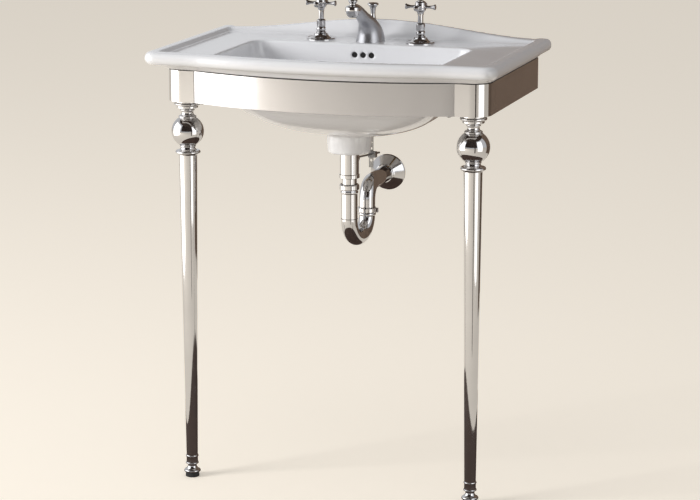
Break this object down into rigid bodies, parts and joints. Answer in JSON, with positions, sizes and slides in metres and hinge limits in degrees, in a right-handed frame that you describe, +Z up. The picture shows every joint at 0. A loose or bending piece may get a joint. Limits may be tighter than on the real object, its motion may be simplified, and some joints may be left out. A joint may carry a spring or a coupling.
{
  "type": "console sink with legs",
  "caption": "Ceramic console basin with a raised back and bowed rim on a chromed frame, two turned front legs, cross-handle taps, pillar spout, pop-up waste and trap",
  "frame": {"origin": "on the floor under the middle of the basin's outline, level with the foot pads' undersides", "axes": "+Z up, -Y towards the user, +Y towards the wall, +X to the user's right"},
  "size_m": [0.686, 0.454, 0.942],
  "materials": {
    "ceramic": "glossy white glaze",
    "chrome": "bright chrome plating",
    "steel": "zinc-plated steel",
    "brass": "plain machined brass",
    "copper": "drawn copper tube",
    "rubber": "matte black rubber",
    "plastic": "matte grey plastic"
  },
  "bodies": {
    "fixture": {"basin": "ceramic", "front_rail": "chrome", "corner_post_left": "chrome", "corner_post_right": "chrome", "side_rail_left": "chrome", "side_rail_right": "chrome", "leg_collars": "chrome", "leg_rings": "chrome", "foot_collars": "chrome", "leg_ball_left": "chrome", "leg_ball_right": "chrome", "leg_tube_left": "chrome", "leg_tube_right": "chrome", "tap_body_left": "chrome", "tap_body_right": "chrome", "spout_body": "chrome", "spout_nozzle": "chrome", "pivot_nut": "chrome", "waste_flange": "chrome", "waste_body": "chrome", "tailpiece": "chrome", "trap_inlet_tube": "chrome", "trap_inlet_nut": "chrome", "trap_bend": "chrome", "trap_outlet_nut": "chrome", "trap_arm": "chrome", "escutcheon": "chrome", "wall_brackets": "steel", "rail_screws": "steel", "leg_studs": "steel", "valve_body_left": "brass", "valve_body_right": "brass", "deck_nuts": "brass", "link_nuts": "brass", "spout_shank": "brass", "waste_nut": "brass", "link_pipes": "copper", "basin_pads": "rubber", "deck_washers": "rubber", "waste_seal": "rubber", "trap_slip_seal": "rubber", "aerator": "plastic"},
    "left_tap": {"handle_left": "chrome", "handle_cap_left": "chrome", "tap_spindle_left": "brass"},
    "right_tap": {"handle_right": "chrome", "handle_cap_right": "chrome", "tap_spindle_right": "brass"},
    "lift": {"lift_knob": "chrome", "lift_rod": "chrome", "lift_strap": "steel", "strap_screw": "brass"},
    "pivot": {"pivot_rod": "steel", "spring_clip": "steel"},
    "plug": {"stopper": "chrome", "stopper_seal": "rubber"},
    "left_foot": {"levelling_foot_left": "chrome", "foot_pad_left": "rubber"},
    "right_foot": {"levelling_foot_right": "chrome", "foot_pad_right": "rubber"}
  },
  "joints": [
    {"name": "left_tap_turn", "type": "hinge", "parent": "fixture", "child": "left_tap", "pos_m": [-0.1016, 0.1415, 0.9], "axis": [0, 0, 1], "range_deg": [0, 90]},
    {"name": "right_tap_turn", "type": "hinge", "parent": "fixture", "child": "right_tap", "pos_m": [0.1016, 0.1415, 0.9], "axis": [0, 0, -1], "range_deg": [0, 90]},
    {"name": "lift_slide", "type": "slide", "parent": "fixture", "child": "lift", "axis": [0, 0, 1], "range_m": [0, 0.035]},
    {"name": "pivot_turn", "type": "hinge", "parent": "fixture", "child": "pivot", "pos_m": [0, 0.0345, 0.622], "axis": [1, 0, 0], "range_deg": [0, 17.65]},
    {"name": "plug_slide", "type": "slide", "parent": "fixture", "child": "plug", "axis": [0, 0, -1], "range_m": [0, 0.00766]},
    {"name": "left_foot_level", "type": "slide", "parent": "fixture", "child": "left_foot", "axis": [0, 0, -1], "range_m": [0, 0.012]},
    {"name": "right_foot_level", "type": "slide", "parent": "fixture", "child": "right_foot", "axis": [0, 0, -1], "range_m": [0, 0.012]}
  ],
  "couplings": [
    {"joint": "pivot_turn", "follows": "lift_slide", "rad_per_m": 8.797},
    {"joint": "plug_slide", "follows": "lift_slide", "ratio": 0.2188}
  ]
}
